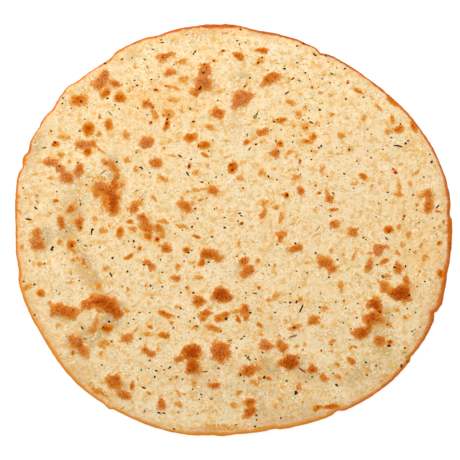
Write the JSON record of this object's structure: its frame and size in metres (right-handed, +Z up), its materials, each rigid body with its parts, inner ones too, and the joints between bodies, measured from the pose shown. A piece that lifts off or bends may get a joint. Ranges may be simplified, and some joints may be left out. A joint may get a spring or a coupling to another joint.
{
  "type": "cauliflower pizza crust",
  "caption": "Thin round baked cauliflower crust with a flat base, an uneven nibbled edge, a browned and blistered top and specks of dried herb; a base for pizza toppings.",
  "frame": {"origin": "middle of the crust's box, on its flat base", "axes": "+Z up out of the blistered top; +X towards the right and +Y towards the top of the picture, which looks straight down"},
  "size_m": [0.2602, 0.2454, 0.006],
  "materials": {
    "baked_dough": "dry baked dough, cream to golden, with toasted brown blisters and dark specks of herb"
  },
  "bodies": {
    "root": {"crust": "baked_dough"}
  },
  "joints": []
}
